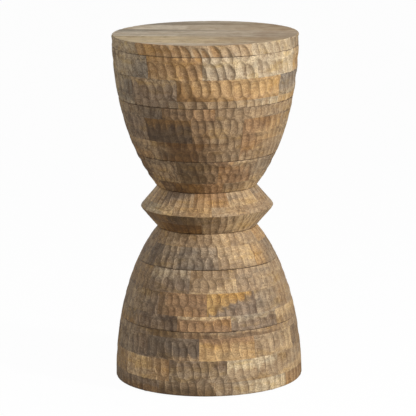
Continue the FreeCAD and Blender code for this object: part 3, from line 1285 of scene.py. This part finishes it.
@dataclass
class Course:
    """One ring of mitred blocks.

    Attributes:
        name: The name of the solid that it stands for.
        profile: The turned outline.
        carving: How it is gouged.
        low_edge: How its lower edge is eased.
        high_edge: How its upper edge is eased.
    """

    name: str
    profile: Profile
    carving: Carving
    low_edge: Edge = Edge.FLUSH
    high_edge: Edge = Edge.FLUSH

    SPACING_ROUND = 0.75 * MM
    SPACING_UP = 1.25 * MM
    EDGE_ROW = 0.6 * MM
    LEAST_ROWS = 6
    JOINT_MARGIN = math.radians(0.01)

    def first_joint(self) -> float:
        """The turn of the mitre joint nearest the front, read from the solid's inner corners.

        Returns:
            The turn in radians, from the front towards +X.
        """
        corners = vertex_table(self.name)
        radii = np.hypot(corners[:, 0], corners[:, 1])
        corner = corners[int(np.argmin(radii))]
        turn = float(angle_of(corner[0], corner[1]))
        spare = BLOCK_TURN / 2 + self.JOINT_MARGIN
        return (turn + spare) % BLOCK_TURN - spare

    def bore(self) -> float:
        """From the axis to the flats inside."""
        corners = vertex_table(self.name)
        return float(np.hypot(corners[:, 0], corners[:, 1]).min()) * math.cos(BLOCK_TURN / 2)

    def sizes(self, bore: float) -> dict[str, float]:
        """The values that the carving rule needs.

        Args:
            bore: From the axis to the flats inside, or 0 where it is solid.

        Returns:
            The values by name.
        """
        low, high = (corner.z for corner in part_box(self.name))
        widest = max(self.profile.radius(low), self.profile.radius(high))
        columns = BLOCK_COUNT * round(FULL_TURN * widest / BLOCK_COUNT / self.SPACING_ROUND)
        values = {
            "Columns": columns,
            "Rows": max(self.LEAST_ROWS, round((high - low) / self.SPACING_UP)),
            "Bottom": low,
            "Top": high,
            "Edge row": self.EDGE_ROW,
            "First joint": self.first_joint() if bore else 0.0,
            "Bore": bore,
        }
        for end, edge in (("Bottom", self.low_edge), ("Top", self.high_edge)):
            values |= {f"{end} {part}": size for part, size in zip(EASING, edge.value)}
        for sizes in (self.profile, self.carving):
            values |= {label(name): size for name, size in asdict(sizes).items()}
        return values


@dataclass(frozen=True)
class Stretch:
    """Neighbouring courses that are turned and gouged alike.

    Attributes:
        count: How many courses there are.
        profile: Their turned outline.
        carving: How they are gouged.
    """

    count: int
    profile: Profile
    carving: Carving


def stack_up(
    prefix: str, stretches: Sequence[Stretch], foot: Edge, meeting: Edge, head: Edge
) -> list[Course]:
    """The courses of some stretches, from the bottom up.

    Args:
        prefix: How the names of the courses start.
        stretches: The stretches from the bottom up.
        foot: The lower edge of the first course.
        meeting: The edges where one stretch meets the next.
        head: The upper edge of the last course.

    Returns:
        The courses.
    """
    courses: list[Course] = []
    for stretch in stretches:
        numbers = range(len(courses) + 1, len(courses) + stretch.count + 1)
        run = [Course(f"{prefix}_{number}", stretch.profile, stretch.carving) for number in numbers]
        run[0].low_edge = run[-1].high_edge = meeting
        courses += run
    courses[0].low_edge, courses[-1].high_edge = foot, head
    return courses


def choose_timber(name: str) -> list[Timber]:
    """The wood of a course's blocks, round the form from its leftmost listed one.

    The leftmost blocks are made coarser, less so near the floor and the waist: their stronger streaks,
    strokes and painted shade stand in for the shading of the cuts on the table's left side, which the
    lamps barely light.

    Args:
        name: The course's name.

    Returns:
        One wood for each block: those listed for the front, then chance ones for the back.
    """
    chance = random.Random(name)
    is_fine = name.startswith("collar") or name in ("lower_ring_1", "lower_ring_2")
    least = LEAST_COARSE_IF_FINE if is_fine else LEAST_COARSE
    listed = FRONT_TIMBER[name]
    chosen = [replace(wood, streaks=max(wood.streaks, least)) for wood in listed[:LEFT_BLOCKS]]
    chosen += listed[LEFT_BLOCKS:]
    while len(chosen) < BLOCK_COUNT:
        tone, other = chance.sample(BACK_TONES, 2)
        toward, split = chance.choice(BACK_DIRECTIONS), chance.uniform(0.1, 0.7)
        chosen.append(Timber(tone, other, toward, split, 0.3, chance.uniform(0.1, 0.8)))
    return chosen


@dataclass
class TurnedStack:
    """A stack of courses turned to one form.

    Attributes:
        carving_rule: The rule that shapes them.
        finish: Their finish.
        pieces: The finished courses by name.
    """

    carving_rule: GougeCarving
    finish: bpy.types.Material
    pieces: dict[str, bpy.types.Object] = field(default_factory=dict)

    def courses(self) -> list[Course]:
        """The courses from the bottom up."""
        raise NotImplementedError

    def build(self) -> None:
        """Turn and carve each course."""
        for course in self.courses():
            sizes = course.sizes(course.bore())
            self.pieces[course.name] = self.carving_rule.shape(f"{course.name}_carved", sizes, self.finish)

    def dress(self) -> None:
        """Give each block its wood and put each course in its solid's place."""
        for course in self.courses():
            piece = self.pieces[course.name]
            self._colour(piece.data, course)
            shade(piece.data)
            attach(piece, "root")
            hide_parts(course.name)
            log.info("%s: %d faces", piece.name, len(piece.data.polygons))

    @staticmethod
    def _colour(mesh: bpy.types.Mesh, course: Course) -> None:
        """Store each face's block: which way it faces and what wood it is.

        Args:
            mesh: The carved course's mesh.
            course: The course.
        """
        centres = face_centres(mesh)
        turns = angle_of(centres[:, 0], centres[:, 1]) - course.first_joint()
        blocks = (np.floor(turns / BLOCK_TURN).astype(int) + LISTED_BLOCKS // 2) % BLOCK_COUNT
        timber = choose_timber(course.name)
        chance = random.Random(course.name + " seeds")
        woods = [wood.values(chance.random()) for wood in timber]
        middles = course.first_joint() + (np.arange(BLOCK_COUNT) - LISTED_BLOCKS // 2 + 0.5) * BLOCK_TURN
        facing = np.stack([np.sin(middles), -np.cos(middles), np.zeros(BLOCK_COUNT)], 1)
        set_face_values(mesh, "facing", facing[blocks])
        for key in woods[0]:
            set_face_values(mesh, key, np.array([wood[key] for wood in woods])[blocks])


@dataclass
class LowerBowl(TurnedStack):
    """The foot: a bowl upside down, nine courses high."""

    def profile(self) -> Profile:
        """The outline from the foot to the waist, read from the solids."""
        low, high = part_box("lower_ring_1")[0].z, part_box("lower_ring_9")[1].z
        return Profile.bowl(outer_radius("lower_ring_1", low), outer_radius("lower_ring_9", high), low, high)

    def courses(self) -> list[Course]:
        """The courses from the bottom up.

        Returns:
            One course for each of the solids.
        """
        outline = self.profile()
        carved = ((4, FOOT_CARVING), (3, SHOULDER_CARVING), (2, NECK_CARVING))
        stretches = [Stretch(count, outline, carving) for count, carving in carved]
        return stack_up("lower_ring", stretches, Edge.FOOT, Edge.GLUE_LINE, Edge.WAIST)


@dataclass
class Collar(TurnedStack):
    """The waist's collar: two bevels that meet in a worn ridge."""

    def courses(self) -> list[Course]:
        """The courses from the bottom up.

        Returns:
            One course for each of the solids.
        """
        low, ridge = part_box("collar_ring_1")[0].z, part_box("collar_ring_2")[1].z
        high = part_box("collar_ring_4")[1].z
        widest = outer_radius("collar_ring_2", ridge)
        below = Profile.bevel(outer_radius("collar_ring_1", low), widest, low, ridge)
        above = Profile.bevel(widest, outer_radius("collar_ring_4", high), ridge, high)
        stretches = (Stretch(2, below, LOW_BEVEL_CARVING), Stretch(2, above, HIGH_BEVEL_CARVING))
        return stack_up("collar_ring", stretches, Edge.WAIST, Edge.RIDGE, Edge.WAIST)


PLANK_NAMES = tuple(f"top_plank_{number}" for number in range(1, PLANK_COUNT + 1))


def upper_outline() -> Profile:
    """The outline of the upper bowl and the top board above it, read from the solids.

    Returns:
        The outline.
    """
    low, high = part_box("upper_ring_1")[0].z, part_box("top_plank_3")[1].z
    wide = max(outer_radius(name, high) for name in PLANK_NAMES)
    return Profile.bowl(wide, outer_radius("upper_ring_1", low), high, low)


@dataclass
class UpperBowl(TurnedStack):
    """The upper bowl, eight courses high."""

    def courses(self) -> list[Course]:
        """The courses from the bottom up.

        Returns:
            One course for each of the solids.
        """
        outline = upper_outline()
        carved = ((2, THROAT_CARVING), (3, BOWL_CARVING), (3, RIM_CARVING))
        stretches = [Stretch(count, outline, carving) for count, carving in carved]
        return stack_up("upper_ring", stretches, Edge.WAIST, Edge.GLUE_LINE, Edge.GLUE_LINE)


@dataclass
class TopBoard:
    """The top: an edge-glued board of five planks, its rim carved and its face sanded.

    Attributes:
        carving_rule: The rule that shapes the rim.
        rim_finish: The carved rim's finish.
        face_finish: The sanded face's finish.
        turn: The turn of the planks about the axis.
        pieces: The finished planks from front to back.
    """

    carving_rule: GougeCarving
    rim_finish: bpy.types.Material
    face_finish: bpy.types.Material
    turn: float = math.radians(-9)
    pieces: list[bpy.types.Object] = field(default_factory=list)

    NAMES = PLANK_NAMES
    FIRST_SEED, NEXT_SEED = 0.17, 0.19
    LEVEL_FACE = 0.9
    POLE_REACH = 1 * MM

    def across(self) -> Vector:
        """The direction across the planks, towards the back."""
        return Vector((-math.sin(self.turn), math.cos(self.turn), 0.0))

    def joints(self) -> list[float]:
        """How far each glue joint lies from the axis, from front to back, read from the solids."""
        across = np.array(self.across())
        return [float((vertex_table(name) @ across).max()) for name in self.NAMES[:-1]]

    def build(self) -> None:
        """Carve the board as one disc, then saw it into its planks."""
        middle = self.NAMES[PLANK_COUNT // 2]
        course = Course(middle, upper_outline(), RIM_CARVING, Edge.GLUE_LINE, Edge.ARRIS)
        disc = self.carving_rule.shape("top_board", course.sizes(0.0), self.rim_finish)
        joints = self.joints()
        for number, name in enumerate(self.NAMES):
            low = joints[number - 1] if number else None
            high = joints[number] if number < len(joints) else None
            self.pieces.append(self._saw(disc, f"{name}_sanded", low, high))
        bpy.data.objects.remove(disc)

    def _saw(
        self, disc: bpy.types.Object, name: str, low: float | None, high: float | None
    ) -> bpy.types.Object:
        """Cut one plank out of the disc.

        Args:
            disc: The whole board.
            name: The plank's name.
            low: Where its front joint lies, or None at the rim.
            high: Where its back joint lies, or None at the rim.

        Returns:
            The plank.
        """
        mesh = bpy.data.meshes.new(name)
        work = bmesh.new()
        work.from_mesh(disc.data)
        reach = self.POLE_REACH
        poles = [corner for corner in work.verts if math.hypot(corner.co.x, corner.co.y) < reach]
        bmesh.ops.dissolve_verts(work, verts=poles)
        across = self.across()
        for place, side in ((low, -1.0), (high, 1.0)):
            if place is None:
                continue
            geometry = [*work.verts, *work.edges, *work.faces]
            bmesh.ops.bisect_plane(
                work, geom=geometry, plane_co=across * place, plane_no=across * side, clear_outer=True
            )
            open_edges = [edge for edge in work.edges if edge.is_boundary]
            bmesh.ops.holes_fill(work, edges=open_edges)
        bmesh.ops.recalc_face_normals(work, faces=work.faces)
        work.to_mesh(mesh)
        work.free()
        return add_object(name, mesh)

    def dress(self) -> None:
        """Give each plank its wood and put it in its solid's place."""
        across = self.across()
        for number, plank in enumerate(self.pieces):
            mesh = plank.data
            mesh.materials.clear()
            for finish in (self.rim_finish, self.face_finish):
                mesh.materials.append(finish)
            normals = np.zeros(len(mesh.polygons) * 3)
            mesh.polygons.foreach_get("normal", normals)
            is_face = normals.reshape(-1, 3)[:, 2] > self.LEVEL_FACE
            mesh.polygons.foreach_set("material_index", is_face.astype(np.int32))
            set_face_values(mesh, "facing", np.tile(-np.array(across), (len(is_face), 1)))
            seed = self.FIRST_SEED + self.NEXT_SEED * number
            rim, face = RIM_TIMBER[number].values(seed), FACE_TIMBER[number].values(seed)
            for key in rim:
                set_face_values(mesh, key, np.where(is_face[:, None], face[key], rim[key]))
            shade(mesh)
            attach(plank, "root")
            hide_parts(self.NAMES[number])
            log.info("%s: %d faces", plank.name, len(mesh.polygons))


@dataclass
class Underside:
    """What is out of sight: the board let into the foot, the pads under it and the post in the waist.

    Attributes:
        finishes: The material of each node by name.
    """

    finishes: dict[str, bpy.types.Material]

    def build(self) -> None:
        """Nothing is shaped here: the solids are already as they should be."""

    def dress(self) -> None:
        """Give each solid its finish."""
        for node, finish in self.finishes.items():
            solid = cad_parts[node]
            solid.data.materials.clear()
            solid.data.materials.append(finish)
            log.info("%s: %s", node, finish.name)


@dataclass(frozen=True)
class Lamp:
    """One soft round lamp that looks at the table's waist.

    Attributes:
        name: Its name.
        side: How far it stands to the right of the camera, in degrees round the table.
        height: How far it stands above the waist, in degrees.
        distance: How far off it is.
        width: How wide it is.
        power: Its power in watts.
    """

    name: str
    side: float
    height: float
    distance: float
    width: float
    power: float

    WAIST = Vector((0.0, 0.0, 280 * MM))

    def build(self) -> None:
        """Put the lamp in the scene."""
        turn, up = math.radians(self.side), math.radians(self.height)
        toward = Vector((math.sin(turn) * math.cos(up), -math.cos(turn) * math.cos(up), math.sin(up)))
        light = bpy.data.lights.new(self.name, "AREA")
        light.shape = "DISK"
        light.size = self.width
        light.energy = self.power
        lamp = add_object(self.name, light)
        lamp.location = self.WAIST + toward * self.distance
        lamp.rotation_mode = "QUATERNION"
        lamp.rotation_quaternion = (-toward).to_track_quat("-Z", "Y")


@dataclass(frozen=True)
class Studio:
    """The floor, the light and the camera.

    Attributes:
        eye: Where the camera stands.
        pitch: How far it looks down, in degrees.
        yaw: How far it looks to the right, in degrees.
        roll: How far it is rolled, in degrees.
        lens: Its focal length in millimetres.
        sensor: The width of its sensor in millimetres.
        surround: The strength of the light from all round.
        lamps: The lamps.
    """

    eye: tuple[float, float, float] = (0.0, -4.338, 1.1446)
    pitch: float = 11.313
    yaw: float = 0.0185
    roll: float = -0.654
    lens: float = 236.63
    sensor: float = 36.0
    surround: float = 0.17
    lamps: tuple[Lamp, ...] = (
        Lamp("key", side=57.0, height=30.0, distance=2.4, width=0.3, power=50.2),
        Lamp("fill", side=-16.0, height=18.0, distance=2.6, width=0.3, power=19.0),
        Lamp("overhead", side=-75.0, height=62.0, distance=2.6, width=1.2, power=5.0),
    )

    FLOOR_HALF = 6.0
    FLOOR_LEVEL = -0.2 * MM
    SIGHT = 50.0

    def build(self) -> None:
        """Set the studio up."""
        self._floor()
        self._world()
        for lamp in self.lamps:
            lamp.build()
        self._camera()
        bpy.context.scene.view_settings.view_transform = "Standard"

    def _floor(self) -> None:
        """A wide pale floor at the table's feet."""
        mesh = bpy.data.meshes.new("floor")
        ways = ((-1, -1), (1, -1), (1, 1), (-1, 1))
        corners = [(x * self.FLOOR_HALF, y * self.FLOOR_HALF, self.FLOOR_LEVEL) for x, y in ways]
        mesh.from_pydata(corners, [], [(0, 1, 2, 3)])
        mesh.materials.append(FloorPaint("floor_paint").material())
        floor = add_object("floor", mesh)

    def _world(self) -> None:
        """Even light from all round, seen as white."""
        world = bpy.data.worlds.new("studio")
        world.use_nodes = True
        bpy.context.scene.world = world
        tree = Tree(world.node_tree)
        path = tree.node("ShaderNodeLightPath", None, None, "Is Camera Ray")
        seen = tree.math("MAXIMUM", path, path.output("Is Glossy Ray"))
        seen = tree.math("MAXIMUM", seen, path.output("Is Transmission Ray"))
        strength = self.surround + seen * (1.0 - self.surround)
        sky = tree.node("ShaderNodeBackground", None, {"Color": WHITE, "Strength": strength})
        tree.node("ShaderNodeOutputWorld", None, {"Surface": sky})

    def _camera(self) -> None:
        """The camera at the viewing angle."""
        pitch, yaw, roll = (math.radians(turn) for turn in (self.pitch, self.yaw, self.roll))
        ahead = Vector((math.sin(yaw) * math.cos(pitch), math.cos(yaw) * math.cos(pitch), -math.sin(pitch)))
        level = Vector((math.cos(yaw), -math.sin(yaw), 0.0))
        upright = level.cross(ahead)
        right = math.cos(roll) * level + math.sin(roll) * upright
        above = math.cos(roll) * upright - math.sin(roll) * level
        lens = bpy.data.cameras.new("camera")
        lens.lens = self.lens
        lens.sensor_width = self.sensor
        lens.clip_end = self.SIGHT
        camera = add_object("camera", lens)
        turned = Matrix((right, above, -ahead)).transposed().to_4x4()
        camera.matrix_world = Matrix.Translation(self.eye) @ turned
        bpy.context.scene.camera = camera


def main() -> None:
    """Build and dress the table from the foot up, then set up the studio."""
    logging.basicConfig(level=logging.INFO, format="%(message)s")
    rule = GougeCarving()
    carved = CarvedWood("carved_wood").material()
    rim = CarvedWood("carved_rim", WoodFigure(half_length=HALF_PLANK)).material()
    sanded = SandedWood("sanded_top").material()
    board = RawWood("base_board_wood").material()
    post = RawWood("post_wood", upright=True).material()
    felt = Felt("felt").material()
    parts = [
        LowerBowl(rule, carved),
        Collar(rule, carved),
        UpperBowl(rule, carved),
        TopBoard(rule, rim, sanded),
        Underside({"base_board": board, "waist_spigot": post, "felt_pads": felt}),
    ]
    for part in parts:
        part.build()
        part.dress()
        log.info("%s is done", type(part).__name__)
    Studio().build()


if __name__ == "__main__":
    main()
